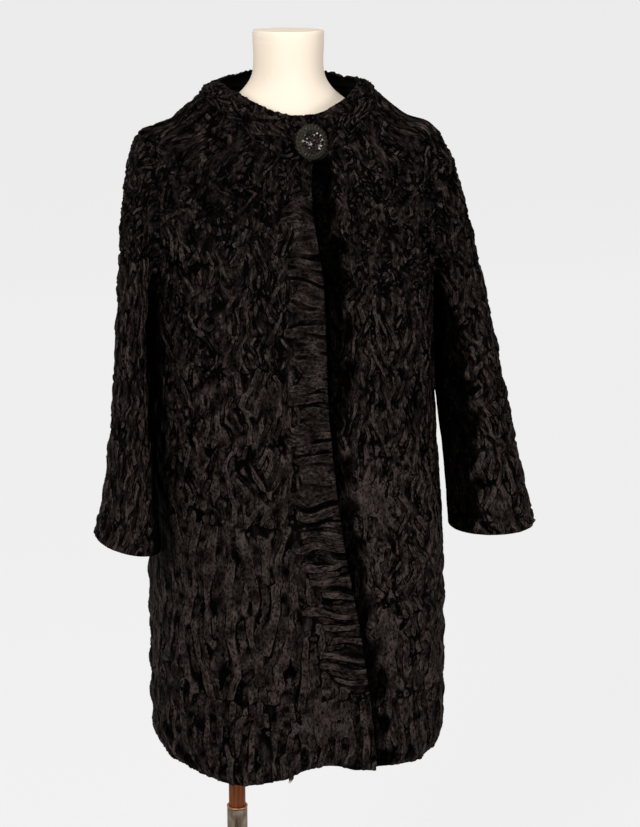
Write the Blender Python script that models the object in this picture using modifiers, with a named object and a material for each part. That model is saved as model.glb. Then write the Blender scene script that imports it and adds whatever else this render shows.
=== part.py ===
"""Fur coat on a dress form and its stand, in metres with +Z up.

The coat faces -Y, and +X is the wearer's left. The origin is on the floor, right below the neck.
Angles round the body start at the centre front and grow towards the wearer's left.
"""

import math

import bmesh
import bpy
import numpy as np
from mathutils import Matrix, Vector

for leftover in list(bpy.data.objects):
    bpy.data.objects.remove(leftover)

# ---- The coat's sizes ----
WALL = 0.004  # pelt, its fur and its backing
SEAM = 0.0003  # gap between pieces that are sewn together
SEAM_REACH = 0.12  # the seams' least distance from the body's axis
FRONT_COLUMNS, BACK_COLUMNS = 15, 22

# The coat's outer face, one row a level, from hem to collar seam: half width, how far it reaches
# forward and back, squareness of the oval (2 is an ellipse), height at front, side and back, and how
# far past the centre the right front's free edge lies.
#            half_width front   back  square front_z side_z back_z  edge
COAT_LEVELS = {
    "hem":        (0.197, 0.182, 0.136, 2.4, 0.494, 0.488, 0.482, 0.069),
    "hem_turn":   (0.207, 0.190, 0.143, 2.4, 0.528, 0.524, 0.520, 0.066),
    "thigh":      (0.208, 0.187, 0.146, 2.4, 0.660, 0.660, 0.660, 0.051),
    "hip":        (0.207, 0.178, 0.148, 2.4, 0.820, 0.820, 0.820, 0.027),
    "waist":      (0.204, 0.164, 0.143, 2.4, 0.970, 0.970, 0.970, 0.016),
    "underarm":   (0.199, 0.150, 0.136, 2.4, 1.120, 1.120, 1.120, 0.014),
    "chest":      (0.203, 0.143, 0.131, 2.4, 1.180, 1.210, 1.190, 0.012),
    "blade":      (0.210, 0.132, 0.124, 2.3, 1.232, 1.300, 1.250, 0.006),
    "tip":        (0.203, 0.120, 0.110, 2.2, 1.270, 1.356, 1.312, 0.004),
    "shoulder":   (0.162, 0.112, 0.096, 2.1, 1.300, 1.375, 1.368, 0.006),
    "neck_seam":  (0.122, 0.104, 0.080, 2.0, 1.325, 1.406, 1.408, 0.0085),
}
SWAY = 0.008  # below the waist the body hangs this much towards the wearer's left
UNDERLAP = 0.045  # how far past the centre the left front runs on under the right one
LAP_GAP = 0.0012  # between the two fronts where they lie on each other
EDGE_LIFT = 0.004  # how much more the right front's free edge stands off
LAP_START = math.radians(-38)  # where the right front starts to rise over the left one

# Soft folds and dents of the body: angle and half width in degrees, depth in mm (a trough is
# negative), the height of its middle and its half height in metres.
#    angle width depth  z     half_height
BODY_FOLDS = (
    (-88, 26, -4.0, 0.960, 0.13),  # where the right sleeve presses in
    (88, 24, -5.0, 0.950, 0.13),  # and the left one
    (-55, 9, -4.0, 0.560, 0.22),
    (-32, 9, 3.0, 0.500, 0.20),
    (40, 8, -3.0, 0.560, 0.22),
    (62, 8, 3.0, 0.480, 0.18),
    (112, 9, -5.0, 0.520, 0.24),
    (140, 10, 4.0, 0.500, 0.20),
    (168, 9, -4.5, 0.520, 0.22),
    (200, 10, 4.0, 0.480, 0.18),
    (232, 9, -5.0, 0.520, 0.24),
)
# Where the hem hangs lower or higher: angle, half width in degrees, mm
HEM_WAVES = ((-38, 18, -12), (0, 16, 16), (46, 12, -8))

ARMHOLE = math.radians(20)  # half the armhole's width, seen from the body's axis
ARM_ROWS = 9  # steps from the underarm to the shoulder's tip, shared by body and sleeve

# The sleeves: cuff centre, half width across the arm and along it, how much higher its outer side
# is than its centre, and the lengths of the pulls that round the shoulder, the underarm and the cuff.
#            x       y      z      half_w half_d lift  shoulder underarm cuff
SLEEVES = {
    "sleeve_right": (-0.2455, -0.098, 0.822, 0.045, 0.066, 0.010, 0.14, 0.09, 0.36),
    "sleeve_left": (0.272, -0.090, 0.811, 0.058, 0.062, 0.002, 0.14, 0.10, 0.36),
}
CUFF_FLARE = {"sleeve_right": 0.42, "sleeve_left": 0.25}  # how much a cuff's outer side flares
# How far a sleeve's inner side hangs in towards the body: at its middle and down to its cuff
HUG = {"sleeve_right": (0.0, 0.0), "sleeve_left": (0.0115, 0.006)}
CUFF_FORWARD = -0.22  # how much a cuff points forward
SHOULDER_SLOPE = 0.45
SLEEVE_START = 0.0033  # leaves a seam's gap at the armhole
SLEEVE_ROWS = 16

COLLAR_RIM = (0.093, 0.083, 0.070)  # the rim's half width and its reach forward and back
COLLAR_RIM_Z = (1.386, 1.424, 1.436)  # the rim's height at front, side and back
COLLAR_BULGE = 0.006
COLLAR_UNDERLAP = math.radians(-24)  # where the collar's left end lies, under the right end
COLLAR_ROWS = 4
COLLAR_COLUMNS = 36

BUTTON_RADIUS = 0.023
BUTTON_FACE = 0.0100  # height of its dome over its back
BUTTON_STEM = (0.004, 0.0035)  # radius and length
BUTTON_AT = (0.033, 0.37)  # radians past the centre, and how far up the collar
BUTTON_TURN = math.radians(12)  # it stands turned towards the wearer's left

TAPE = (0.007, 0.0012, 0.040)  # width, thickness, length
TAPE_ANGLE = math.radians(-13.5)
TAPE_DROP = 0.017  # how far it hangs out below the hem
TAPE_GAP = 0.0015  # between it and the left front, whose wall slopes in at the hem

# ---- The dress form, level by level as the coat, and its stand ----
#            half_width front   back  square front_z side_z back_z
FORM_LEVELS = {
    "bottom":    (0.130, 0.090, 0.110, 2.2, 0.700, 0.700, 0.700),
    "seat":      (0.160, 0.110, 0.122, 2.2, 0.780, 0.780, 0.780),
    "hip":       (0.168, 0.116, 0.118, 2.2, 0.850, 0.850, 0.850),
    "waist":     (0.132, 0.100, 0.092, 2.1, 1.030, 1.030, 1.030),
    "bust":      (0.158, 0.118, 0.100, 2.2, 1.160, 1.170, 1.170),
    "blade":     (0.180, 0.112, 0.104, 2.3, 1.215, 1.265, 1.235),
    "tip":       (0.183, 0.104, 0.096, 2.2, 1.262, 1.328, 1.300),
    "shoulder":  (0.145, 0.090, 0.082, 2.1, 1.300, 1.362, 1.352),
    "neck_base": (0.085, 0.067, 0.066, 2.0, 1.358, 1.392, 1.402),
    "neck":      (0.050, 0.049, 0.050, 2.0, 1.420, 1.428, 1.436),
    "neck_top":  (0.048, 0.048, 0.048, 2.0, 1.484, 1.484, 1.484),
    "neck_edge": (0.045, 0.045, 0.045, 2.0, 1.489, 1.489, 1.489),
}
FORM_ROWS = 24
FORM_COLUMNS = 28

POLE_AT = (-0.068, 0.060)  # the pole stands to one side of the neck and behind it
POLE_RADIUS = 0.01225
POLE_Z = (0.110, 0.6997)
TUBE_OUTER, TUBE_BORE = 0.0150, 0.0128
TUBE_Z = (0.0303, 0.354)
BASE_RADIUS, BASE_RIM, BASE_HEIGHT = 0.205, 0.007, 0.030
KNOB_Z = 0.318
KNOB_TURN = math.radians(-20)  # which way the clamp screw points, from -Y towards -X
SCREW_RADIUS, SCREW_HOLE = 0.0035, 0.0040
SCREW_TIP = 0.0135  # its distance from the pole's axis, just clear of the pole
KNOB_RADIUS, KNOB_FACE = 0.0110, 0.0440


# ---- Curves and surfaces ----
def smooth(rows, at):
    """Rows of a table read at places between them, on a curve through all of them."""
    rows = np.asarray(rows, float)
    rows = np.vstack([2 * rows[0] - rows[1], rows, 2 * rows[-1] - rows[-2]])
    at = np.asarray(at, float)
    start = np.clip(np.floor(at).astype(int), 0, len(rows) - 4)
    t = (at - start)[..., None]
    a, b, c, d = (rows[start + i] for i in range(4))
    return 0.5 * (2 * b + (c - a) * t + (2 * a - 5 * b + 4 * c - d) * t**2 + (3 * b - a - 3 * c + d) * t**3)


def step(value, low, high):
    """0 below low, 1 above high, and an even curve between."""
    t = np.clip((value - low) / (high - low), 0, 1)
    return t * t * (3 - 2 * t)


def oval(levels, angle, level):
    """Points of a body whose levels are ovals, each with its own height at front, side and back."""
    row = np.moveaxis(smooth(list(levels.values()), level), -1, 0)
    half_width, front, back, square, front_z, side_z, back_z = row[:7]
    ahead = np.cos(angle) > 0
    depth = np.where(ahead, front, back)
    across = np.abs(np.sin(angle)) / half_width
    along = np.abs(np.cos(angle)) / depth
    radius = (across**square + along**square) ** (-1 / square)
    height = side_z + (np.where(ahead, front_z, back_z) - side_z) * np.cos(angle) ** 2
    return radius, height


def coat_body(angle, level):
    """The outer face of the coat's body, folds and hem included."""
    angle, level = np.broadcast_arrays(angle, level)
    radius, height = oval(COAT_LEVELS, angle, level)
    for middle, width, depth, z, half_height in BODY_FOLDS:
        away = (np.degrees(angle) - middle + 180) % 360 - 180
        shape = np.exp(-((away / width) ** 2) - ((height - z) / half_height) ** 2)
        radius = radius + depth / 1000 * shape
    for middle, width, rise in HEM_WAVES:
        away = (np.degrees(angle) - middle + 180) % 360 - 180
        height = height + rise / 1000 * (1 - step(level, 0, 3)) * np.exp(-((away / width) ** 2))
    sway = SWAY * (1 - step(height, 0.7, 1.1))
    return np.stack([radius * np.sin(angle) + sway, -radius * np.cos(angle), height], -1)


def normals(surface, u, v):
    """Unit normals of surface(u, v), from its slopes along u and v."""
    h = 1e-4
    along_u = surface(u + h, v) - surface(u - h, v)
    along_v = surface(u, v + h) - surface(u, v - h)
    across = np.cross(along_u, along_v)
    return across / np.linalg.norm(across, axis=-1, keepdims=True)


def level_of(name):
    return list(COAT_LEVELS).index(name)


UNDERARM, TIP = level_of("underarm"), level_of("tip")
TOP = level_of("neck_seam")


def body_rows():
    """Levels of the body's rows. Those beside the armhole are closer at its two ends."""
    below = np.linspace(0, UNDERARM, 13)[:-1]
    turn = np.linspace(math.pi, 0, ARM_ROWS + 1)
    beside = UNDERARM + (TIP - UNDERARM) * (1 + np.cos(turn)) / 2
    above = np.linspace(TIP, TOP, 5)[1:]
    return np.concatenate([below, beside, above])


def side_edge(level):
    """Angle of a front's side seam and armhole edge: an oval hole from underarm to shoulder tip."""
    t = np.clip((level - UNDERARM) / (TIP - UNDERARM), 0, 1)
    return math.pi / 2 - ARMHOLE * 2 * np.sqrt(t * (1 - t))


def front_reach(level):
    return smooth(list(COAT_LEVELS.values()), level)[..., 1]


def back_edge(level):
    return math.pi - side_edge(level)


def hidden_edge(level):
    """Angle of the left front's free edge, under the right front."""
    return -np.arcsin(UNDERLAP / front_reach(level))


def free_edge(level):
    """Angle of the right front's free edge."""
    return np.arcsin(smooth(list(COAT_LEVELS.values()), level)[..., 7] / front_reach(level))


def lap(angle, level):
    """How far the right front, and the collar's right end, are moved out over the left ones."""
    over = step(angle, LAP_START, hidden_edge(level))
    lift = step(angle, hidden_edge(level), free_edge(level))
    return (WALL + LAP_GAP) * over + EDGE_LIFT * lift * (1 - step(level, TIP, TOP))


def right_front(angle, level):
    out = normals(coat_body, angle, level)
    return coat_body(angle, level) + lap(angle, level)[..., None] * out


def armhole(side, turn):
    """The armhole's edge on the body, from the shoulder's tip (0) by the front to the underarm (pi)."""
    level = UNDERARM + (TIP - UNDERARM) * (1 + np.cos(turn)) / 2
    angle = side * (math.pi / 2 - ARMHOLE * np.sin(turn))
    return angle, level


def sleeve(name):
    """A sleeve's outer face, from the armhole (t = 0) to the cuff (t = 1), turn round the arm.

    Each line down the sleeve leaves the armhole outward and into it, and bends down to the cuff. The
    inner side is then moved in towards the body by a bump at the middle and a step down to the cuff.
    """
    x, y, z, half_w, half_d, lift, shoulder_pull, underarm_pull, cuff_pull = SLEEVES[name]
    side = 1 if x > 0 else -1

    def surface(turn, t):
        turn, t = np.broadcast_arrays(side * turn, t)
        angle, level = armhole(side, turn)
        start = coat_body(angle, level)
        inward = coat_body(side * (math.pi / 2 - 0.6 * ARMHOLE * np.sin(turn)), level)
        above = (1 + np.cos(turn)) / 2
        outward = np.stack([side + 0 * above, 0 * above, -SHOULDER_SLOPE * above], -1)
        pull = 1.5 * (inward - start) + 0.06 * outward
        pull /= np.linalg.norm(pull, axis=-1, keepdims=True)
        pull *= (underarm_pull + (shoulder_pull - underarm_pull) * above)[..., None]
        end = np.stack(
            [
                x + side * half_w * np.cos(turn),
                y - half_d * np.sin(turn),
                z + lift * np.cos(turn),
            ],
            -1,
        )
        flare = side * CUFF_FLARE[name] * above
        down = cuff_pull * np.stack([flare, CUFF_FORWARD + 0 * above, -1 + 0 * above], -1)
        middle, low = HUG[name]
        hug = (middle * np.exp(-(((t - 0.50) / 0.25) ** 2)) + low * step(t, 0, 0.5)) * (1 - above) ** 2
        hug *= step(t, 0, 0.15)
        t = t[..., None]
        return (
            start * (1 + 2 * t) * (1 - t) ** 2
            + pull * t * (1 - t) ** 2
            + end * t**2 * (3 - 2 * t)
            - down * t**2 * (1 - t)
            - np.stack([side * hug, 0 * hug, 0 * hug], -1)
        )

    return surface


def collar(angle, t):
    """The collar's outer face: from the collar seam (t = 0) up and in to the rim (t = 1)."""
    angle, t = np.broadcast_arrays(angle, t)
    last_turn = angle > math.pi
    around = np.where(last_turn, angle - 2 * math.pi, angle)
    top = np.full_like(around, float(TOP))
    seam = np.where(last_turn[..., None], right_front(around, top), coat_body(around, top))
    half_width, front, back = COLLAR_RIM
    front_z, side_z, back_z = COLLAR_RIM_Z
    ahead = np.cos(around) > 0
    depth = np.where(ahead, front, back)
    radius = ((np.sin(around) / half_width) ** 2 + (np.cos(around) / depth) ** 2) ** -0.5
    over = np.where(last_turn, lap(around, top), 0)
    height = side_z + (np.where(ahead, front_z, back_z) - side_z) * np.cos(around) ** 2
    outward = np.stack([np.sin(around), -np.cos(around), np.zeros_like(around)], -1)
    rim = (radius + over)[..., None] * outward
    rim[..., 2] = height
    bulge = COLLAR_BULGE * np.sin(math.pi * t)[..., None] * (outward + np.array([0, 0, 0.5]))
    return seam + (rim - seam) * t[..., None] + bulge + np.array([0, 0, SEAM])


# ---- Making objects ----
parts = bpy.data.collections.new("fur_coat_on_dress_form")
cutters = bpy.data.collections.new("cutters")
for made in (parts, cutters):
    bpy.context.scene.collection.children.link(made)


def finish(obj, colour, roughness, metallic=0.0):
    """Files the object with the parts, shades it smooth up to its edges and gives it its material."""
    for holder in list(obj.users_collection):
        holder.objects.unlink(obj)
    parts.objects.link(obj)
    obj.data.shade_smooth()
    obj.data.set_sharp_from_angle(angle=math.radians(50))
    look = bpy.data.materials.new(obj.name)
    look.use_nodes = True
    shader = look.node_tree.nodes["Principled BSDF"]
    shader.inputs["Base Color"].default_value = (*colour, 1)
    shader.inputs["Roughness"].default_value = roughness
    shader.inputs["Metallic"].default_value = metallic
    obj.data.materials.append(look)
    return obj


def mesh_object(name, shape):
    """An object from a bmesh whose faces all turn outward."""
    bmesh.ops.recalc_face_normals(shape, faces=shape.faces)
    mesh = bpy.data.meshes.new(name)
    shape.to_mesh(mesh)
    shape.free()
    obj = bpy.data.objects.new(name, mesh)
    parts.objects.link(obj)
    return obj


def wall(name, outer, inner, ring):
    """A closed wall between two grids of points, rows by columns. A ring's columns close round."""
    rows, columns = outer.shape[:2]
    shape = bmesh.new()
    faces = [[[shape.verts.new(point) for point in row] for row in grid] for grid in (outer, inner)]
    spans = [(j, (j + 1) % columns) for j in range(columns if ring else columns - 1)]
    for grid in faces:
        for low, high in zip(grid[:-1], grid[1:]):
            for j, k in spans:
                shape.faces.new([low[j], low[k], high[k], high[j]])
    near, far = faces
    for i in (0, rows - 1):
        for j, k in spans:
            shape.faces.new([near[i][j], near[i][k], far[i][k], far[i][j]])
    for j in () if ring else (0, columns - 1):
        for i in range(rows - 1):
            shape.faces.new([near[i][j], near[i + 1][j], far[i + 1][j], far[i][j]])
    return mesh_object(name, shape)


def loft(name, rings):
    """A solid through rings of points, with a flat face at each end."""
    shape = bmesh.new()
    loops = [[shape.verts.new(point) for point in ring] for ring in rings]
    for low, high in zip(loops[:-1], loops[1:]):
        for j in range(len(low)):
            k = (j + 1) % len(low)
            shape.faces.new([low[j], low[k], high[k], high[j]])
    shape.faces.new(loops[0][::-1])
    shape.faces.new(loops[-1])
    return mesh_object(name, shape)


def turned(name, profile, steps, closed=False):
    """A turned solid from (radius, height) pairs that run down its outer side."""
    points = [(radius, 0, height) for radius, height in profile]
    edges = [(i, i + 1) for i in range(len(points) - 1)]
    if closed:
        edges.append((len(points) - 1, 0))
    mesh = bpy.data.meshes.new(name)
    mesh.from_pydata(points, edges, [])
    obj = bpy.data.objects.new(name, mesh)
    parts.objects.link(obj)
    screw = obj.modifiers.new("Turn", "SCREW")
    screw.steps = screw.render_steps = steps
    screw.use_merge_vertices = True
    screw.merge_threshold = 0.00001
    screw.use_smooth_shade = True
    return obj


# ---- The coat ----
FUR = ((0.012, 0.010, 0.009), 0.45)


def pelt(name, surface, u, v, ring=False):
    """One sewn piece: a wall whose inner points are its outer ones, moved in by its thickness."""
    u, v = np.broadcast_arrays(u, v)
    outer = surface(u, v)
    inner = outer - WALL * normals(surface, u, v)
    finish(wall(name, outer, inner, ring), *FUR)


def panel(name, surface, first, last, columns):
    """A body panel between two edges, each an angle for every level, less half a seam at each."""
    level = body_rows()[:, None]
    half_seam = SEAM / 2 / SEAM_REACH
    start, end = first(level) + half_seam, last(level) - half_seam
    pelt(name, surface, start + (end - start) * np.linspace(0, 1, columns), level)


def add_body():
    panel("front_right", right_front, lambda level: -side_edge(level), free_edge, FRONT_COLUMNS)
    panel("front_left", coat_body, hidden_edge, side_edge, FRONT_COLUMNS)
    panel("back", coat_body, back_edge, lambda level: 2 * math.pi - back_edge(level), BACK_COLUMNS)


def add_sleeves():
    turn = np.linspace(0, 2 * math.pi, 2 * ARM_ROWS, endpoint=False)[None, :]
    down = np.linspace(0, 1, SLEEVE_ROWS)[:, None] ** 1.35
    for name in SLEEVES:
        pelt(name, sleeve(name), turn, SLEEVE_START + (1 - SLEEVE_START) * down, ring=True)


def add_collar():
    around = np.linspace(COLLAR_UNDERLAP, 2 * math.pi + free_edge(TOP), COLLAR_COLUMNS)[None, :]
    pelt("collar", collar, around, np.linspace(0, 1, COLLAR_ROWS + 1)[:, None])


def add_button():
    """A domed button on a short stem that faces straight out from the collar's right end."""
    stem_radius, stem_length = BUTTON_STEM
    shoulder = 0.4 * BUTTON_FACE
    rise = BUTTON_FACE - shoulder
    dome = [math.radians(turn) for turn in (0, 20, 40, 60, 80)]
    profile = [(BUTTON_RADIUS * math.sin(turn), shoulder + rise * math.cos(turn)) for turn in dome]
    profile += [
        (BUTTON_RADIUS, 0.8 * shoulder),
        (0.95 * BUTTON_RADIUS, 0.3 * shoulder),
        (stem_radius, 0),
        (stem_radius, -stem_length),
        (0, -stem_length),
    ]
    button = turned("button", profile, 32)
    angle, up = BUTTON_AT
    angle, up = np.array([2 * math.pi + angle]), np.array([up])
    out = Vector(normals(collar, angle, up)[0])
    facing = Matrix.Rotation(BUTTON_TURN, 3, "Z") @ out
    clear = SEAM + stem_radius * math.sin(BUTTON_TURN)
    button.rotation_euler = facing.to_track_quat("Z", "Y").to_euler()
    button.location = Vector(collar(angle, up)[0]) + out * clear + facing * stem_length
    finish(button, (0.03, 0.03, 0.032), 0.25)


def add_hem_tape():
    """A short end of tape that hangs from inside the hem, flat against the left front."""
    width, thick, length = TAPE
    angle, level = np.array([TAPE_ANGLE]), np.array([0.0])
    facing = normals(coat_body, angle, level)[0]
    hem = coat_body(angle, level)[0] - facing * (WALL + TAPE_GAP + thick / 2)
    bpy.ops.mesh.primitive_cube_add(size=1)
    tape = bpy.context.active_object
    tape.name = tape.data.name = "hem_tape"
    for vertex in tape.data.vertices:
        vertex.co *= Vector((width, thick, length))
    tape.rotation_euler = (0, 0, TAPE_ANGLE)
    tape.location = (hem[0], hem[1], hem[2] - TAPE_DROP + length / 2)
    finish(tape, (0.02, 0.018, 0.018), 0.8)


# ---- The dress form and its stand ----
def add_form():
    level = np.linspace(0, len(FORM_LEVELS) - 1, FORM_ROWS)[:, None]
    angle = np.linspace(0, 2 * math.pi, FORM_COLUMNS, endpoint=False)[None, :]
    angle, level = np.broadcast_arrays(angle, level)
    radius, height = oval(FORM_LEVELS, angle, level)
    rings = np.stack([radius * np.sin(angle), -radius * np.cos(angle), height], -1)
    finish(loft("form", rings), (0.80, 0.70, 0.50), 0.9)


def add_pole():
    low, high = POLE_Z
    bpy.ops.mesh.primitive_cylinder_add(vertices=32, radius=POLE_RADIUS, depth=high - low)
    pole = bpy.context.active_object
    pole.name = pole.data.name = "pole"
    pole.location = (*POLE_AT, (low + high) / 2)
    finish(pole, (0.30, 0.13, 0.06), 0.45)


def clamp_frame(obj):
    """Puts an object on the clamp screw's axis: its +Z points out from the pole."""
    obj.location = (*POLE_AT, KNOB_Z)
    obj.rotation_euler = (math.pi / 2, 0, KNOB_TURN)


def add_height_tube():
    """The metal tube that the pole slides in, with a hole for the clamp screw."""
    low, high = TUBE_Z
    profile = [(TUBE_BORE, high), (TUBE_OUTER, high), (TUBE_OUTER, low), (TUBE_BORE, low)]
    tube = turned("height_tube", profile, 32, closed=True)
    tube.location = (*POLE_AT, 0)
    bpy.ops.mesh.primitive_cylinder_add(vertices=24, radius=SCREW_HOLE, depth=2 * TUBE_OUTER)
    hole = bpy.context.active_object
    hole.name = "screw_hole"
    for vertex in hole.data.vertices:
        vertex.co.z += TUBE_OUTER + SCREW_HOLE
    clamp_frame(hole)
    for holder in list(hole.users_collection):
        holder.objects.unlink(hole)
    cutters.objects.link(hole)
    hole.hide_render = True
    hole.display_type = "WIRE"
    cut = tube.modifiers.new("Screw hole", "BOOLEAN")
    cut.object = hole
    finish(tube, (0.23, 0.19, 0.15), 0.4, 1.0)


def add_clamp_knob():
    edge = 0.0015
    back = KNOB_FACE - 0.0120
    profile = [
        (0, KNOB_FACE),
        (KNOB_RADIUS - 3 * edge, KNOB_FACE),
        (KNOB_RADIUS - edge, KNOB_FACE - edge / 2),
        (KNOB_RADIUS, KNOB_FACE - 2 * edge),
        (KNOB_RADIUS, back + edge),
        (KNOB_RADIUS - edge, back),
        (SCREW_RADIUS + edge, back - edge),
        (SCREW_RADIUS, back - edge),
        (SCREW_RADIUS, SCREW_TIP),
        (0, SCREW_TIP),
    ]
    knob = turned("clamp_knob", profile, 24)
    clamp_frame(knob)
    finish(knob, (0.02, 0.02, 0.02), 0.35)


def add_base():
    profile = [
        (0, BASE_HEIGHT),
        (0.026, BASE_HEIGHT),
        (0.030, BASE_HEIGHT - 0.004),
        (0.046, 0.4 * BASE_HEIGHT),
        (BASE_RADIUS - 0.010, BASE_RIM),
        (BASE_RADIUS - 0.002, 0.7 * BASE_RIM),
        (BASE_RADIUS, 0.4 * BASE_RIM),
        (BASE_RADIUS, 0),
        (0, 0),
    ]
    base = turned("base", profile, 48)
    base.location = (*POLE_AT, 0)
    finish(base, (0.025, 0.023, 0.022), 0.5)


add_body()
add_sleeves()
add_collar()
add_button()
add_hem_tape()
add_form()
add_pole()
add_height_tube()
add_clamp_knob()
add_base()
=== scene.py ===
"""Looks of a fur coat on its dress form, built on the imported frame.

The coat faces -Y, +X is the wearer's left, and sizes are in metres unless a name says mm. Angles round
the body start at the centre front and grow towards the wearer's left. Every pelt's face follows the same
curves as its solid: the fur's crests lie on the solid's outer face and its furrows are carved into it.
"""

import math

import bpy
import numpy as np
from mathutils import Matrix, Vector


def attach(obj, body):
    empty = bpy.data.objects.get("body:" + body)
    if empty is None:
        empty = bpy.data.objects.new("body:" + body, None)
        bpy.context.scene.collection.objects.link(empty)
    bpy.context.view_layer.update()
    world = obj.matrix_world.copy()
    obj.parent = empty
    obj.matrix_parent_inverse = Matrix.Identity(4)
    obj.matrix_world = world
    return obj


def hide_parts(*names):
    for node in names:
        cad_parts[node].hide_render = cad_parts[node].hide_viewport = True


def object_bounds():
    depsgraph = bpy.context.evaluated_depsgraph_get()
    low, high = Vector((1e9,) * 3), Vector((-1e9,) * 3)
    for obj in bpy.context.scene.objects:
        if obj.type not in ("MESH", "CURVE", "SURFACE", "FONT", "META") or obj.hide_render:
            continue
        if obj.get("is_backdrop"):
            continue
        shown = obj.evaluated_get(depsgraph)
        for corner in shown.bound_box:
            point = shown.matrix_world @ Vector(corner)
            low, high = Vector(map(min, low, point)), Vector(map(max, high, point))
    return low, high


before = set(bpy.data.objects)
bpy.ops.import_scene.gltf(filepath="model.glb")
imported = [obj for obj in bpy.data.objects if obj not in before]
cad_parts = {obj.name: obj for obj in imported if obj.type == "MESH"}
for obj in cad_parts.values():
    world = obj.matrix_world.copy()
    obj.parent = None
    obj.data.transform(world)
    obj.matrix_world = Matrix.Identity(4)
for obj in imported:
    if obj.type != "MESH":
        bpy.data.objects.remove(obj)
cad_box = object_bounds()


# ---- The foot ----
# A heavy round plate of cast iron that thins towards its edge, with a low cone round the tube. It is
# painted black and holds the stand upright by its own weight.
POLE_AT = (-0.068, 0.060)
on_pole = Matrix.Translation((*POLE_AT, 0))


def mesh_of(name, points, faces, flat=(), second=(), looks=(), fields=None, closed=True):
    """An object of points and of arrays of faces, each array with its own number of corners.

    The arrays numbered in flat are shaded flat, and those in second take the second material. A closed
    shape's faces are turned outward, by the sign of the volume that they enclose.
    """
    volume = sum(
        np.einsum("ij,ij->", points[f[:, 0]], np.cross(points[f[:, k]], points[f[:, k + 1]]))
        for f in faces
        for k in range(1, f.shape[1] - 1)
    )
    if closed and volume < 0:
        faces = [f[:, ::-1] for f in faces]
    mesh = bpy.data.meshes.new(name)
    sizes = np.concatenate([np.full(len(f), f.shape[1]) for f in faces])
    corners = np.concatenate([f.ravel() for f in faces]).astype(np.int32)
    mesh.vertices.add(len(points))
    mesh.vertices.foreach_set("co", np.ascontiguousarray(points, np.float32).ravel())
    mesh.loops.add(len(corners))
    mesh.loops.foreach_set("vertex_index", corners)
    mesh.polygons.add(len(sizes))
    mesh.polygons.foreach_set("loop_start", (np.cumsum(sizes) - sizes).astype(np.int32))
    smooth_faces = np.concatenate([np.full(len(f), i not in flat) for i, f in enumerate(faces)])
    mesh.polygons.foreach_set("use_smooth", smooth_faces)
    slots = np.concatenate([np.full(len(f), int(i in second)) for i, f in enumerate(faces)])
    mesh.polygons.foreach_set("material_index", slots.astype(np.int32))
    mesh.update(calc_edges=True)
    for field, values in (fields or {}).items():
        kind, key = ("FLOAT_VECTOR", "vector") if values.ndim > 1 else ("FLOAT", "value")
        layer = mesh.attributes.new(field, kind, "POINT")
        layer.data.foreach_set(key, np.ascontiguousarray(values, np.float32).ravel())
    for look in looks:
        mesh.materials.append(look)
    obj = bpy.data.objects.new(name, mesh)
    bpy.context.scene.collection.objects.link(obj)
    return obj


def grid_faces(numbers, ring=False):
    """Quads between the neighbours of a grid of point numbers, rows by columns."""
    after = np.roll(numbers, -1, axis=1) if ring else numbers[:, 1:]
    here = numbers if ring else numbers[:, :-1]
    quads = [here[:-1], after[:-1], after[1:], here[1:]]
    return np.stack([q.ravel() for q in quads], -1)


def closed_rings(count, columns):
    """The faces of count rings of points one above the other, closed by fans to two points that follow."""
    numbers = np.arange(count * columns).reshape(count, columns)
    fans = [
        np.stack([ring, np.roll(ring, way), np.full(columns, tip)], -1)
        for ring, way, tip in ((numbers[0], 1, numbers.size), (numbers[-1], -1, numbers.size + 1))
    ]
    return [grid_faces(numbers, ring=True), np.concatenate(fans)]


def turned(name, radius, height, columns, place, looks, fields=None):
    """A closed solid turned about its own Z: rings of points between two poles, moved by place.

    radius and height hold a row a ring, from pole to pole, each one number or a number a column.
    """
    turn = np.linspace(0, 2 * math.pi, columns, endpoint=False)
    shape = len(radius), columns
    radius, height = (np.broadcast_to(np.reshape(a, (len(a), -1)), shape) for a in (radius, height))
    rings = np.stack([radius * np.cos(turn), radius * np.sin(turn), height], -1)
    poles = rings[[0, -1], 0]
    points = np.concatenate([rings[1:-1].reshape(-1, 3), poles])
    place = np.array(place)
    points = points @ place[:3, :3].T + place[:3, 3]
    return mesh_of(name, points, closed_rings(len(rings) - 2, columns), looks=looks, fields=fields)


def rounded(corners, radius):
    """A profile of (radius, height) corners with each inner corner cut to a short curve.

    The curve is the parabola that leaves and reaches the two sides at the cut. Two cuts leave at least a
    tenth of a side between them.
    """
    share, steps = 0.45, 4  # of a side, at most, and points to a curve
    made = [corners[0]]
    for before, at, after in zip(corners[:-2], corners[1:-1], corners[2:]):
        before, at, after = (np.array(p, float) for p in (before, at, after))
        back, ahead = np.linalg.norm(before - at), np.linalg.norm(after - at)
        cut = min(radius, share * back, share * ahead)
        start = at + (before - at) / back * cut
        end = at + (after - at) / ahead * cut
        for t in np.linspace(0, 1, steps):
            made.append(tuple(start * (1 - t) ** 2 + 2 * at * t * (1 - t) + end * t**2))
    made.append(corners[-1])
    return np.array(made)


def add_turned(name, corners, columns, place, look, body, replaced, radius=0.0008):
    """A rigid piece turned from a profile whose corners are rounded, in place of one solid."""
    profile = rounded(corners, radius)
    obj = turned(name, profile[:, 0], profile[:, 1], columns, place, (look,))
    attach(obj, body)
    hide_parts(replaced)


def material(name, colour, roughness):
    """A material of one colour, with its node tree and its shader for what is added to it."""
    look = bpy.data.materials.new(name)
    look.use_nodes = True
    shader = look.node_tree.nodes["Principled BSDF"]
    shader.inputs["Base Color"].default_value = (*colour, 1)
    shader.inputs["Roughness"].default_value = roughness
    return look, look.node_tree, shader


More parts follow.
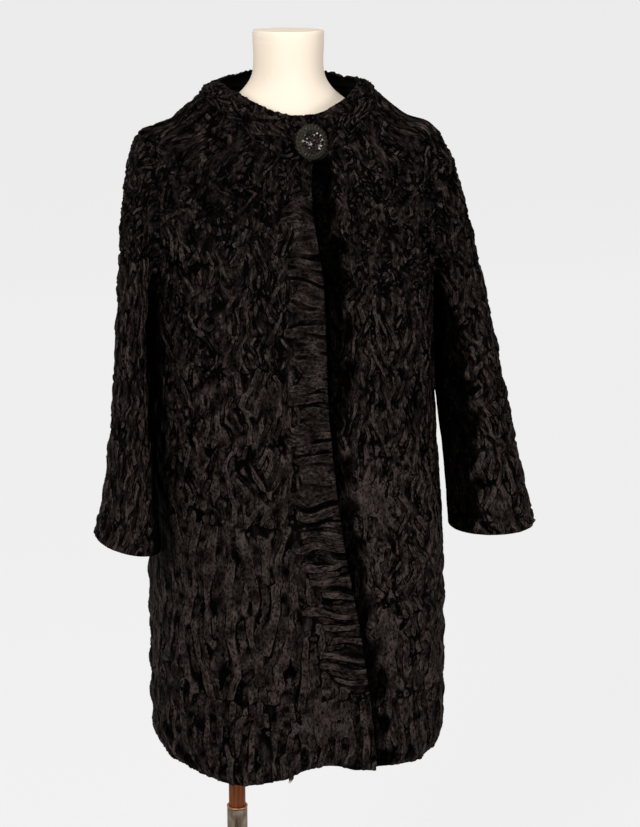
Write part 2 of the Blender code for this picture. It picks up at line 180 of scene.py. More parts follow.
def node(tree, kind, **sockets):
    """A node with sockets set to a value, or linked where the value is another node's socket.

    A socket is called by its name, or by its place after an underscore where its name isn't its own.
    """
    made = tree.nodes.new(kind)
    for name, value in sockets.items():
        socket = made.inputs[int(name[1:])] if name[0] == "_" else made.inputs[name]
        if isinstance(value, bpy.types.NodeSocket):
            tree.links.new(value, socket)
        else:
            socket.default_value = value
    return made


def stretched_noise(tree, vector, scale, detail):
    """Noise over a vector that is first stretched by scale, one number an axis."""
    stretch = node(tree, "ShaderNodeVectorMath", _0=vector, _1=scale)
    stretch.operation = "MULTIPLY"
    noise = node(tree, "ShaderNodeTexNoise", Vector=stretch.outputs[0], Scale=1.0, Detail=detail)
    return noise.outputs["Fac"]


def mixed(tree, factor, first, second):
    """A colour on the straight line from first to second: first where factor is 0, second where it is 1."""
    made = tree.nodes.new("ShaderNodeMix")
    made.data_type = "RGBA"
    tree.links.new(factor, made.inputs["Factor"])
    for name, value in (("A", first), ("B", second)):
        socket = next(s for s in made.inputs if s.name == name and s.type == "RGBA")
        if isinstance(value, bpy.types.NodeSocket):
            tree.links.new(value, socket)
        else:
            socket.default_value = (*value, 1)
    return next(s for s in made.outputs if s.type == "RGBA")


def bump(tree, shader, height, distance, strength):
    """Fine relief in the shading: a height of 1 stands for distance in metres."""
    made = node(tree, "ShaderNodeBump", Height=height, Distance=distance, Strength=strength)
    tree.links.new(made.outputs[0], shader.inputs["Normal"])


def paint_material(name, colour, roughness):
    """Sprayed paint: a fine bump as of orange peel, and a paler film of dust in soft clouds."""
    look, tree, shader = material(name, colour, roughness)
    place = node(tree, "ShaderNodeTexCoord").outputs["Object"]
    orange_peel = stretched_noise(tree, place, (350, 350, 350), 2)
    dust = stretched_noise(tree, place, (14, 14, 14), 4)
    dusty = tuple(2.2 * c + 0.01 for c in colour)
    tree.links.new(mixed(tree, dust, colour, dusty), shader.inputs["Base Color"])
    bump(tree, shader, orange_peel, 0.0003, 0.3)
    return look


add_turned(
    "iron_foot",
    (
        (0, 0), (0.2045, 0), (0.205, 0.0028), (0.203, 0.0049), (0.195, 0.007), (0.046, 0.012), (0.030, 0.026),
        (0.026, 0.030), (0, 0.030),
    ),
    144, on_pole, paint_material("black_iron", (0.020, 0.018, 0.017), 0.6), "stand", "base", 0.002,
)


# ---- The tube ----
# A steel tube in a worn bronze tone, pressed into the foot, with a bead rolled round its upper end. The
# pole slides in it.
def maths(tree, operation, a, b):
    """One sum, product or other operation on two values or sockets."""
    made = node(tree, "ShaderNodeMath", _0=a, _1=b)
    made.operation = operation
    return made.outputs[0]


def between(tree, value, low, high, first, last):
    """A straight line from first, where value is low, to last, where it is high, and level past both."""
    made = node(tree, "ShaderNodeMapRange", Value=value, _1=low, _2=high, _3=first, _4=last)
    return made.outputs[0]


TUBE_TOP, BEAD_LOW = 0.354, 0.3505


def bronze_material():
    """Worn bronze plate: brown and silver patches, fine scratches, and bare copper on the rolled bead.

    The patches are three parts of a round noise and one part of a noise drawn out along the tube.
    """
    look, tree, shader = material("worn_bronze", (0.3, 0.25, 0.2), 0.42)
    place = node(tree, "ShaderNodeTexCoord").outputs["Object"]
    worn = stretched_noise(tree, place, (110, 110, 70), 5)
    scratch = stretched_noise(tree, place, (700, 700, 40), 3)
    both = maths(tree, "ADD", maths(tree, "MULTIPLY", worn, 0.75), maths(tree, "MULTIPLY", scratch, 0.25))
    silver = between(tree, both, 0.35, 0.65, 0.0, 1.0)
    patches = mixed(tree, silver, (0.085, 0.052, 0.032), (0.26, 0.215, 0.165))
    height = node(tree, "ShaderNodeSeparateXYZ", Vector=place).outputs[2]
    bead = between(tree, height, BEAD_LOW, BEAD_LOW + 0.001, 0.0, 1.0)
    tree.links.new(mixed(tree, bead, patches, (0.42, 0.19, 0.10)), shader.inputs["Base Color"])
    shader.inputs["Metallic"].default_value = 1.0
    rough = maths(tree, "ADD", maths(tree, "MULTIPLY", both, 0.35), 0.27)
    tree.links.new(rough, shader.inputs["Roughness"])
    bump(tree, shader, scratch, 0.0002, 0.4)
    return look


def add_tube():
    """A hollow tube: a closed profile carried round, with an arc of an oval for the bead at its upper end."""
    bore, outer, low = 0.0128, 0.0150, 0.0303
    chamfer, bead_wide, bead_tall = 0.0006, 0.0012, 0.0014
    bead_at = outer - chamfer, TUBE_TOP - 0.0016
    rows, columns = 24, 72
    bead = [
        (bead_at[0] + bead_wide * math.cos(a), bead_at[1] + bead_tall * math.sin(a))
        for a in np.linspace(-0.5 * math.pi, 0.75 * math.pi, 9)
    ]
    side = [(outer, z) for z in np.linspace(low + 0.001, TUBE_TOP - 0.006, rows)]
    mouth = [(bore + 0.0004, TUBE_TOP), (bore, TUBE_TOP - chamfer)]
    profile = np.array([(bore, low), (outer - chamfer, low), *side, *bead, *mouth])
    turn = np.linspace(0, 2 * math.pi, columns, endpoint=False)
    x, y = profile[:, :1] * np.cos(turn) + POLE_AT[0], profile[:, :1] * np.sin(turn) + POLE_AT[1]
    points = np.stack([x, y, profile[:, 1:] + 0 * x], -1)
    numbers = np.arange(len(profile) * columns).reshape(-1, columns)
    numbers = np.concatenate([numbers, numbers[:1]])
    faces = [grid_faces(numbers, ring=True)]
    obj = mesh_of("metal_tube", points.reshape(-1, 3), faces, looks=(bronze_material(),))
    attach(obj, "stand")
    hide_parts("height_tube")


add_tube()


# ---- The clamp screw ----
# A short steel screw with a turned knob in black enamel. It goes through a threaded hole near the top of
# the tube and presses on the pole.
CLAMP_HEIGHT, CLAMP_LEAN = 0.318, math.radians(-20)
clamp = Matrix.Translation((*POLE_AT, CLAMP_HEIGHT)) @ Matrix.Rotation(CLAMP_LEAN, 4, "Z")
clamp = clamp @ Matrix.Rotation(math.pi / 2, 4, "X")
add_turned(
    "knob_and_screw",
    (
        (0, 0.0135), (0.0035, 0.0135), (0.0035, 0.0305), (0.0050, 0.0305), (0.0095, 0.0320), (0.0110, 0.0335),
        (0.0110, 0.0410), (0.0095, 0.04325), (0.0065, 0.0440), (0, 0.0440),
    ),
    72, clamp, paint_material("black_enamel", (0.015, 0.014, 0.014), 0.28), "clamp", "clamp_knob",
)


# ---- The pole ----
# A round hardwood pole, stained and varnished. Its upper end is fixed in the bottom of the form, and its
# lower end slides in the tube.
POLE_RADIUS, POLE_LOW, POLE_TOP = 0.01225, 0.110, 0.6997


def wood_material():
    """Stained hardwood under varnish: two noises drawn out along the pole, one for pores, one for bands."""
    look, tree, shader = material("varnished_wood", (0.25, 0.10, 0.045), 0.5)
    place = node(tree, "ShaderNodeTexCoord").outputs["Object"]
    grain = stretched_noise(tree, place, (420, 420, 14), 4)
    bands = stretched_noise(tree, place, (150, 150, 5), 3)
    streak = maths(tree, "ADD", maths(tree, "MULTIPLY", grain, 0.45), maths(tree, "MULTIPLY", bands, 0.55))
    streak = between(tree, streak, 0.36, 0.64, 0.0, 1.0)
    shade = mixed(tree, streak, (0.035, 0.009, 0.003), (0.25, 0.066, 0.015))
    tree.links.new(shade, shader.inputs["Base Color"])
    shader.inputs["IOR"].default_value = 1.2
    bump(tree, shader, grain, 0.0003, 0.5)
    return look


add_turned(
    "wooden_pole", ((0, POLE_LOW), (POLE_RADIUS, POLE_LOW), (POLE_RADIUS, POLE_TOP), (0, POLE_TOP)), 64,
    on_pole, wood_material(), "form", "pole",
)


# ---- The dress form ----
# A limbless torso with a neck, padded and covered in cream jersey that is sewn round it. The neck ends in
# a flat cap covered in the same cloth.

# The torso's own lines from its lower end to the cap, as its solid has them: half width, reach forward and
# back, squareness of the oval, and height at front, side and back.
FORM_LEVELS = np.array((
    (0.130, 0.090, 0.110, 2.2, 0.700, 0.700, 0.700),
    (0.160, 0.110, 0.122, 2.2, 0.780, 0.780, 0.780),
    (0.168, 0.116, 0.118, 2.2, 0.850, 0.850, 0.850),
    (0.132, 0.100, 0.092, 2.1, 1.030, 1.030, 1.030),
    (0.158, 0.118, 0.100, 2.2, 1.160, 1.170, 1.170),
    (0.180, 0.112, 0.104, 2.3, 1.215, 1.265, 1.235),
    (0.183, 0.104, 0.096, 2.2, 1.262, 1.328, 1.300),
    (0.145, 0.090, 0.082, 2.1, 1.300, 1.362, 1.352),
    (0.085, 0.067, 0.066, 2.0, 1.358, 1.392, 1.402),
    (0.050, 0.049, 0.050, 2.0, 1.420, 1.428, 1.436),
    (0.048, 0.048, 0.048, 2.0, 1.484, 1.484, 1.484),
    (0.045, 0.045, 0.045, 2.0, 1.489, 1.489, 1.489),
))


def smooth(rows, at):
    """Rows of a table read at places between them, on a curve through all of them.

    From row to row it is a cubic whose slope at a row is half the step from the row before to the row after.
    """
    rows = np.asarray(rows, float)
    rows = np.vstack([2 * rows[0] - rows[1], rows, 2 * rows[-1] - rows[-2]])
    at = np.asarray(at, float)
    start = np.clip(np.floor(at).astype(int), 0, len(rows) - 4)
    t = (at - start)[..., None]
    a, b, c, d = (rows[start + i] for i in range(4))
    flat, square, cube = c - a, 2 * a - 5 * b + 4 * c - d, 3 * b - a - 3 * c + d
    return 0.5 * (2 * b + flat * t + square * t**2 + cube * t**3)


def oval(levels, angle, level):
    """Radius and height of a body whose levels are ovals, each with its own three heights.

    An oval is where the shares of its two half axes, each to the power of square, add up to 1, so 2 is an
    ellipse and more is squarer. Its height goes from the side's to the front's or the back's by the square of
    the angle's cosine.
    """
    row = np.moveaxis(smooth(levels, level), -1, 0)
    half_width, front, back, square, front_z, side_z, back_z = row[:7]
    ahead = np.cos(angle) > 0
    across = np.abs(np.sin(angle)) / half_width
    along = np.abs(np.cos(angle)) / np.where(ahead, front, back)
    radius = (across**square + along**square) ** (-1 / square)
    height = side_z + (np.where(ahead, front_z, back_z) - side_z) * np.cos(angle) ** 2
    return radius, height


def jersey_material():
    """Cream jersey: fine upright stitches in the bump and soft clouds of dust in the colour."""
    look, tree, shader = material("cream_jersey", (0.80, 0.70, 0.50), 0.85)
    place = node(tree, "ShaderNodeTexCoord").outputs["Object"]
    knit = stretched_noise(tree, place, (1300, 1300, 800), 2)
    cloud = stretched_noise(tree, place, (16, 16, 9), 3)
    dusty = mixed(tree, cloud, (0.53, 0.452, 0.36), (0.59, 0.515, 0.43))
    tree.links.new(dusty, shader.inputs["Base Color"])
    bump(tree, shader, knit, 0.0004, 0.5)
    return look


def add_form():
    """Ovals from level to level, with a flat top and bottom of ever smaller rings.

    Under the cap a fine groove goes round the neck, a bell curve of the height in its section.
    """
    columns, rows, cap_rows = 120, 150, 10
    groove_deep, groove_z, groove_half = 0.0007, 1.4795, 0.0009
    bottom_rings, top_rings = (0.3, 0.6), (0.96, 0.6, 0.3)
    neck = len(FORM_LEVELS) - 2
    level = np.concatenate([np.linspace(0, neck, rows), np.linspace(neck, neck + 1, cap_rows)[1:]])[:, None]
    angle = np.linspace(0, 2 * math.pi, columns, endpoint=False)[None, :]
    radius, height = oval(FORM_LEVELS, angle, level)
    radius = radius - groove_deep * np.exp(-(((height - groove_z) / groove_half) ** 2))
    rings = np.stack([radius * np.sin(angle), -radius * np.cos(angle), height], -1)
    bottom = [rings[0] * (k, k, 1) for k in bottom_rings]
    top = [rings[-1] * (k, k, 1) for k in top_rings]
    rings = np.concatenate([bottom, rings, top])
    middles = [[0, 0, rings[0, 0, 2]], [0, 0, rings[-1, 0, 2]]]
    points = np.concatenate([rings.reshape(-1, 3), middles])
    faces = closed_rings(len(rings), columns)
    obj = mesh_of("covered_form", points, faces, looks=(jersey_material(),))
    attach(obj, "form")
    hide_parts("form")


add_form()


# ---- The coat's fronts and back ----
# Three panels of flat wavy lamb fur on a thin skin, sewn at the sides and the shoulders. Each is joined from
# rows of pelts, and the right front laps over the left one. Neck, hem and armholes are open.

# The coat's own lines, level by level from hem to collar seam, as its solids have them: half width, reach
# forward and back, squareness of the oval, height at front, side and back, and how far past the centre
# the right front's free edge lies.
LEVELS = np.array((
    (0.197, 0.182, 0.136, 2.4, 0.494, 0.488, 0.482, 0.069),  # hem
    (0.207, 0.190, 0.143, 2.4, 0.528, 0.524, 0.520, 0.066),
    (0.208, 0.187, 0.146, 2.4, 0.660, 0.660, 0.660, 0.051),
    (0.207, 0.178, 0.148, 2.4, 0.820, 0.820, 0.820, 0.027),
    (0.204, 0.164, 0.143, 2.4, 0.970, 0.970, 0.970, 0.016),  # waist
    (0.199, 0.150, 0.136, 2.4, 1.120, 1.120, 1.120, 0.014),  # underarm
    (0.203, 0.143, 0.131, 2.4, 1.180, 1.210, 1.190, 0.012),
    (0.210, 0.132, 0.124, 2.3, 1.232, 1.300, 1.250, 0.006),
    (0.203, 0.120, 0.110, 2.2, 1.270, 1.356, 1.312, 0.004),  # shoulder's tip
    (0.162, 0.112, 0.096, 2.1, 1.300, 1.375, 1.368, 0.006),
    (0.122, 0.104, 0.080, 2.0, 1.325, 1.406, 1.408, 0.0085),  # collar seam
))
UNDERARM, TIP, TOP = 5, 8, 10  # rows of the table
WALL, LAP_GAP, SEAM = 0.004, 0.0012, 0.0003
LAP_START, LEFT_EDGE, EDGE_LIFT = math.radians(-38), 0.045, 0.004
SWAY = 0.008  # of the skirt towards the wearer's left
# Soft folds: angle and half width in degrees, depth in mm, height of the middle and half height
FOLDS = (
    (-88, 26, -4.0, 0.960, 0.13),
    (88, 24, -5.0, 0.950, 0.13),
    (-55, 9, -4.0, 0.560, 0.22),
    (-32, 9, 3.0, 0.500, 0.20),
    (40, 8, -3.0, 0.560, 0.22),
    (62, 8, 3.0, 0.480, 0.18),
    (112, 9, -5.0, 0.520, 0.24),
    (140, 10, 4.0, 0.500, 0.20),
    (168, 9, -4.5, 0.520, 0.22),
    (200, 10, 4.0, 0.480, 0.18),
    (232, 9, -5.0, 0.520, 0.24),
)
HEM_WAVES = ((-38, 18, -12), (0, 16, 16), (46, 12, -8))  # angle, half width in degrees, rise in mm
ARMHOLE = math.radians(20)  # half of its width, as an angle round the body


def step(value, low, high):
    """0 below low, 1 above high, and between them the cubic that is level at both ends."""
    t = np.clip((value - low) / (high - low), 0, 1)
    return t * t * (3 - 2 * t)


def degrees_from(angle, middle):
    """How many degrees an angle lies past the middle, from -180 to 180."""
    return (np.degrees(angle) - middle + 180) % 360 - 180


def coat_body(angle, level):
    """The outer face of the coat's body: its ovals, with the folds, the hem's waves and the sway added.

    A fold is a bell curve of the angle and the height that moves the wall out or in, and a wave is a bell
    curve of the angle that moves the hem up or down.
    """
    angle, level = np.broadcast_arrays(angle, level)
    radius, height = oval(LEVELS, angle, level)
    for middle, width, depth, z, half_height in FOLDS:
        away = degrees_from(angle, middle)
        shape = np.exp(-((away / width) ** 2) - ((height - z) / half_height) ** 2)
        radius = radius + depth / 1000 * shape
    for middle, width, rise in HEM_WAVES:
        away = degrees_from(angle, middle)
        height = height + rise / 1000 * (1 - step(level, 0, 3)) * np.exp(-((away / width) ** 2))
    sway = SWAY * (1 - step(height, 0.7, 1.1))
    return np.stack([radius * np.sin(angle) + sway, -radius * np.cos(angle), height], -1)


def normals(surface, u, v):
    """Unit normals of surface(u, v): the cross product of its slopes along u and v."""
    h = 1e-4
    along_u = surface(u + h, v) - surface(u - h, v)
    along_v = surface(u, v + h) - surface(u, v - h)
    across = np.cross(along_u, along_v)
    return across / np.maximum(np.linalg.norm(across, axis=-1, keepdims=True), 1e-12)


def side_edge(level):
    """The angle of the side seam and, above it, of the armhole: half an ellipse that bites into the seam."""
    t = np.clip((level - UNDERARM) / (TIP - UNDERARM), 0, 1)
    return math.pi / 2 - ARMHOLE * 2 * np.sqrt(t * (1 - t))


def hidden_edge(level):
    """The angle of the left front's free edge, straight down on the wearer's right of the centre."""
    return -np.arcsin(LEFT_EDGE / smooth(LEVELS, level)[..., 1])


def free_edge(level):
    """The angle of the right front's free edge, as far past the centre as the table says."""
    row = smooth(LEVELS, level)
    return np.arcsin(row[..., 7] / row[..., 1])


def lap(angle, level):
    """How far the right front, and the collar's right end, are moved out over the left ones.

    It grows to a wall and a gap before the left front's edge, and then to a little more at the free edge.
    """
    over = step(angle, LAP_START, hidden_edge(level))
    lift = step(angle, hidden_edge(level), free_edge(level))
    return (WALL + LAP_GAP) * over + EDGE_LIFT * lift * (1 - step(level, TIP, TOP))


def right_front(angle, level):
    """The right front's outer face: the body's own, moved out along its normals by the lap."""
    out = normals(coat_body, angle, level)
    return coat_body(angle, level) + lap(angle, level)[..., None] * out


def waves(x, z, spacing, length, seed, count=36):
    """A random field that crosses zero on winding lines about `spacing` apart and `length` long in z.

    It is a sum of plane waves whose steepness and lean are drawn at random about those two sizes.
    """
    draw = np.random.default_rng(seed)
    uneven = 0.2
    across = math.pi / spacing * draw.normal(1, uneven, count)
    along = math.pi / length * draw.normal(0, 1, count)
    start = draw.uniform(0, 2 * math.pi, count)
    total = np.zeros(np.broadcast(x, z).shape)
    for a, b, c in zip(across, along, start):
        total += np.cos(a * x + b * z + c)
    return total * math.sqrt(2 / count)


def drift(x, z, size, seed):
    """A slow random field of about unit size that has no direction of its own: waves both ways, added."""
    count, spread = 14, 1.5
    return (waves(x, z, size, size, seed, count) + waves(z, x, size, size, seed + 1, count)) / spread


def furrows(x, z, spacing, length, fan, patch, seed):
    """A field whose zero lines are the furrows: waves along three leans, -fan, 0 and fan degrees.

    Each lean is weighted by e to a slow field of its own, so that it rules where that field is high.
    """
    total, power, contrast = 0, 0, 2.4
    for number, lean in enumerate((-fan, 0, fan)):
        c, s = math.cos(math.radians(lean)), math.sin(math.radians(lean))
        weight = np.exp(contrast * drift(x, z, patch, seed + 20 + 2 * number))
        total = total + weight * waves(x * c + z * s, z * c - x * s, spacing, length, seed + number)
        power = power + weight**2
    return total / np.sqrt(power)


def carve(field, crease, dark):
    """Depth in mm below the ridges: a furrow where the field is near 0, a hollow where it is above, deeper
    where the hollow's painted shade is darker, and small creases over all of it."""
    furrow_deep, hollow_deep, darkest_deep, crease_deep = 2.6, 0.8, 1.4, 0.7
    furrow_at, furrow_floor, furrow_half = 0.16, 0.12, 0.5  # in values of the field
    furrow = 1 - step(np.abs(field - furrow_at), furrow_floor, furrow_half)
    hollow = step(field, 0.3, 0.9)
    small = 1 - step(np.abs(crease), 0.0, 0.8)
    hollows = (hollow_deep + darkest_deep * dark) * hollow
    return furrow_deep * furrow + hollows + crease_deep * small * (1 - furrow)


# Each table of pelts has a row for each row of them: the height where it starts, the spacing and the length
# of its furrows in mm, how far they fan out in degrees, in patches how wide in mm, how much of the fur is
# furrow, how dark the hollows are, as painted shade that also deepens them, and its tone, which is lower at
# the chest as painted shade of the curlier fur.
FRONT_RIGHT_PELTS = (
    (0.0, 9.5, 130, 6, 60, 1.30, 0.55, 0.95),
    (0.605, 12, 130, 8, 60, 1.15, 0.30, 1.0),
    (0.850, 8, 42, 24, 40, 1.50, 0.45, 0.88),
    (1.060, 7, 32, 30, 30, 1.75, 0.62, 0.80),
    (1.250, 6.5, 20, 55, 24, 1.9, 0.7, 0.56),
)
FRONT_LEFT_PELTS = (
    (0.0, 9.5, 120, 5, 60, 1.30, 0.5, 1.10),
    (0.590, 11, 60, 20, 44, 1.25, 0.3, 1.16),
    (0.705, 8, 36, 30, 38, 1.50, 0.45, 1.20),
    (0.930, 7.5, 38, 24, 32, 1.75, 0.55, 0.9),
    (1.150, 6.5, 20, 55, 24, 1.95, 0.75, 0.80),
)
BACK_PELTS = (
    (0.0, 9.5, 120, 6, 60, 1.30, 0.45, 0.95),
    (0.620, 12, 90, 10, 50, 1.20, 0.3, 1.0),
    (0.860, 8, 40, 26, 38, 1.55, 0.45, 0.95),
    (1.130, 7, 22, 48, 26, 1.85, 0.65, 0.8),
)


def pelts(table, x, z, seed):
    """The furrows' field, that of the creases, how dark the hollows' painted shade is, the brightness with
    painted shade in it, and the hair's map.

    Each row of pelts has fields of its own over a map that slow fields push to and fro, and every field here
    is a sum of waves. Where one pelt meets the next the fields change, and a broken furrow marks the seam.
    """
    relief, tone_and_shade = np.zeros((*x.shape, 3)), np.zeros(x.shape)
    flow = np.zeros((*x.shape, 3))
    above_all, seam_waver, push = 9.0, 0.0025, 0.025  # metres, metres, and a share of a patch
    crease_share, finest = 0.42, 5.5  # spacing of the creases: a share of the furrows', and mm at least
    uneven_width, uneven_hollow_shade, uneven_tone = 0.45, 0.4, 0.3
    starts = [row[0] for row in table] + [above_all]
    waver = seam_waver * drift(x, 0 * z, 0.03, seed + 7)
    for number, (row, above) in enumerate(zip(table, starts[1:])):
        start, spacing, length, fan, patch, width, hollow_depth_and_shade, light = row
        mark = seed + 40 * number
        inside = (z + waver >= start) & (z + waver < above)
        if not inside.any():
            continue
        px, pz = x[inside], z[inside]
        sway = push * patch / 1000
        sx = px + sway * drift(px, pz, patch / 1000, mark + 2)
        sz = pz + sway * drift(px, pz, patch / 1000, mark + 4)
        small = max(crease_share * spacing, finest) / 1000
        local = width * np.clip(1 + uneven_width * drift(px, pz, 0.032, mark + 15), 0.6, 2.0)
        field = furrows(sx, sz, spacing / 1000, length / 1000, fan, patch / 1000, mark + 5) / local
        crease = furrows(sx, sz, small, 2 * small, fan, patch / 1000, mark + 12)
        field = field + np.maximum(0.8 * (hollow_depth_and_shade - 0.4), 0) + 0.12 * drift(sx, sz, 0.05, mark + 22)
        # How dark the hollows are: painted shade in the material, and more depth in the relief.
        dark = np.clip(hollow_depth_and_shade + uneven_hollow_shade * drift(sx, sz, 1.4 * spacing / 1000, mark + 18), 0, 0.97)
        relief[inside] = np.stack([field, crease, dark], -1)
        flow[inside] = np.stack([sx, sz, 0 * sx], -1)
        # The row's tone is lower at the chest as painted shade of the curlier fur, and uneven at random.
        tone_and_shade[inside] = light * np.clip(1 + uneven_tone * drift(px, pz, 0.025, mark + 9), 0.3, 1.7)
    seam_floor, seam_half = 0.0006, 0.0045
    for start in starts[1:-1]:
        gap = 1 - step(np.abs(z + waver - start), seam_floor, seam_half)
        gap = gap * step(drift(x, z, 0.02, seed + 11), -1.1, 0.0)
        relief[..., 0] *= 1 - gap
    return relief, tone_and_shade, flow


# Places where the fur lies flat and combed: x and z on the map, half the size in x and z, and how flat.
COMBED = {
    "front_right": ((-0.005, 0.578, 0.034, 0.034, 0.95),),
    "front_left": ((0.072, 0.878, 0.032, 0.022, 0.85), (0.085, 0.690, 0.022, 0.030, 0.85)),
}
FLAT_RELIEF = np.array([-1.5, 1.0, 0.0])  # all ridge, without creases or hollows


def comb(name, x, z, relief):
    """The relief drawn towards flat fur in the combed places, which are ovals with a wavering edge."""
    for at_x, at_z, half_x, half_z, flat in COMBED.get(name, ()):
        away = np.hypot((x - at_x) / half_x, (z - at_z) / half_z) + 0.2 * drift(x, z, 0.015, 77)
        calm = flat * (1 - step(away, 0.7, 1.2))
        relief = relief + (FLAT_RELIEF - relief) * calm[..., None]
    return relief


def attribute(tree, name):
    """A node that reads one of the mesh's own fields."""
    made = tree.nodes.new("ShaderNodeAttribute")
    made.attribute_name = name
    return made


def ramp(tree, value, stops):
    """A curve of straight lines through stops of (value, result)."""
    made = node(tree, "ShaderNodeValToRGB", Fac=value)
    elements = made.color_ramp.elements
    while len(elements) < len(stops):
        elements.new(1.0)
    for element, (at, result) in zip(elements, stops):
        element.position = at
        element.color = (result, result, result, 1)
    return made.outputs["Color"]


# How bright the fur is across a furrow: the furrows' field and the brightness there, from the middle of a
# ridge over its bright lip and the black furrow to the hollow. The lip is a painted highlight of sheen, and
# the black furrow and the dimmer hollow are painted shade.
SHEEN_AND_SHADE_ACROSS_FURROW = (
    (-4.0, 0.40), (-1.0, 0.42), (-0.66, 0.52), (-0.40, 1.0), (-0.26, 0.9), (-0.10, 0.03),
    (0.42, 0.0), (0.58, 0.55), (0.72, 0.42), (1.1, 0.32), (4.0, 0.26),
)


def fur_material():
    """Short glossy lamb fur: brown black on the ridges, black in the furrows as painted shade, with combed
    hair streaks.

    The attribute relief holds the furrows' field, that of the small creases, and how dark the painted shade
    in the hollows is.
    The field is below 0 on a ridge, 0 at the furrow beside it, and above 0 in the hollow past the furrow.
    The edges are drawn here, made ragged by the hair: a ridge has a bright lip of painted sheen along the
    black furrow of painted shade.
    """
    look, tree, shader = material("fur", (0.012, 0.010, 0.009), 0.42)
    relief = node(tree, "ShaderNodeSeparateXYZ", Vector=attribute(tree, "relief").outputs["Vector"])
    field, crease, dark = relief.outputs
    flow = attribute(tree, "flow").outputs["Vector"]
    hair = stretched_noise(tree, flow, (400, 210, 0), 3)
    locks = stretched_noise(tree, flow, (190, 80, 0), 2)
    streaks = maths(tree, "ADD", maths(tree, "MULTIPLY", hair, 0.6), maths(tree, "MULTIPLY", locks, 0.4))
    ragged = between(tree, streaks, 0.3, 0.7, -0.3, 0.3)
    # The profile across a furrow is painted light: a painted highlight of sheen on the lip and painted shade
    # in the black furrow.
    low, high = SHEEN_AND_SHADE_ACROSS_FURROW[0][0], SHEEN_AND_SHADE_ACROSS_FURROW[-1][0]
    place = between(tree, maths(tree, "ADD", field, ragged), low, high, 0.0, 1.0)
    profile = ramp(tree, place, [((at - low) / (high - low), lit) for at, lit in SHEEN_AND_SHADE_ACROSS_FURROW])
    # Here and there the ridges run together and the furrow between them fades.
    melt = between(tree, stretched_noise(tree, flow, (62, 22, 0), 2), 0.49, 0.62, 0.0, 0.72)
    faded = maths(tree, "MULTIPLY", melt, maths(tree, "SUBTRACT", 0.38, profile))
    profile = maths(tree, "ADD", profile, faded)
    # Painted shade: the hollows past the furrows are darkened.
    hollow = between(tree, field, 0.3, 0.65, 0.0, 1.0)
    painted_hollow_shade = maths(tree, "SUBTRACT", 1.0, maths(tree, "MULTIPLY", hollow, dark))
    # Painted shade: the small creases are darkened.
    painted_crease_shade = maths(tree, "ADD", maths(tree, "ABSOLUTE", crease, 0.0), ragged)
    painted_crease_shade = between(tree, painted_crease_shade, 0.0, 0.5, 0.5, 1.0)
    grain = between(tree, streaks, 0.39, 0.61, 0.15, 1.85)
    tone_and_shade = attribute(tree, "tone_and_shade").outputs["Fac"]
    lit = tone_and_shade
    for part in (profile, painted_hollow_shade, painted_crease_shade, grain):
        lit = maths(tree, "MULTIPLY", lit, part)
    black, brown = (0.0002, 0.00016, 0.00014), (0.034, 0.0252, 0.0222)
    tree.links.new(mixed(tree, lit, black, brown), shader.inputs["Base Color"])
    rough = maths(tree, "ADD", maths(tree, "MULTIPLY", streaks, 0.25), 0.32)
    tree.links.new(rough, shader.inputs["Roughness"])
    shader.inputs["IOR"].default_value = 1.035
    # The gloss follows the tone: where painted shade darkens the fur, between sleeve and body or beside the
    # lap, it has none.
    tree.links.new(between(tree, tone_and_shade, 0.1, 0.5, 0.0, 0.5), shader.inputs["Specular IOR Level"])
    height = maths(tree, "ADD", maths(tree, "MULTIPLY", profile, 0.8), streaks)
    bump(tree, shader, height, 0.0016, 1.0)
    return look


def lining_material():
    """Plain dark lining cloth: a fine weave in the bump."""
    look, tree, shader = material("lining", (0.0022, 0.0020, 0.0020), 0.45)
    shader.inputs["IOR"].default_value = 1.15
    place = node(tree, "ShaderNodeTexCoord").outputs["Object"]
    weave = stretched_noise(tree, place, (1400, 1400, 350), 1)
    bump(tree, shader, weave, 0.0003, 0.5)
    return look


fur, lining = fur_material(), lining_material()


def from_side(face, axis, way):
    """How far each point of a grid lies from one of its sides: the sum of the steps along its own line."""
    line = np.linalg.norm(np.diff(face, axis=axis), axis=-1)
    line = line if way > 0 else np.flip(line, axis)
    away = np.cumsum(line, axis)
    away = np.concatenate([0 * away.take([0], axis), away], axis)
    return away if way > 0 else np.flip(away, axis)


SWELL, SHALLOWEST, DEEPEST = 1.1, -2.0, 3.5  # mm: slow swells of the skin, and the relief's limits
PAINTED_SHADE_WHERE_RUBBED, RUBBED_FLAT = 0.92, 0.85  # share of tone lost to painted shade, and of relief flattened, between sleeve and body
ROUND_EDGE, SEWN_EDGE = 0.0022, 0.004  # width of the soft curve at a free edge, and of the calm at a seam
COARSE = 4  # outer steps to one inner step


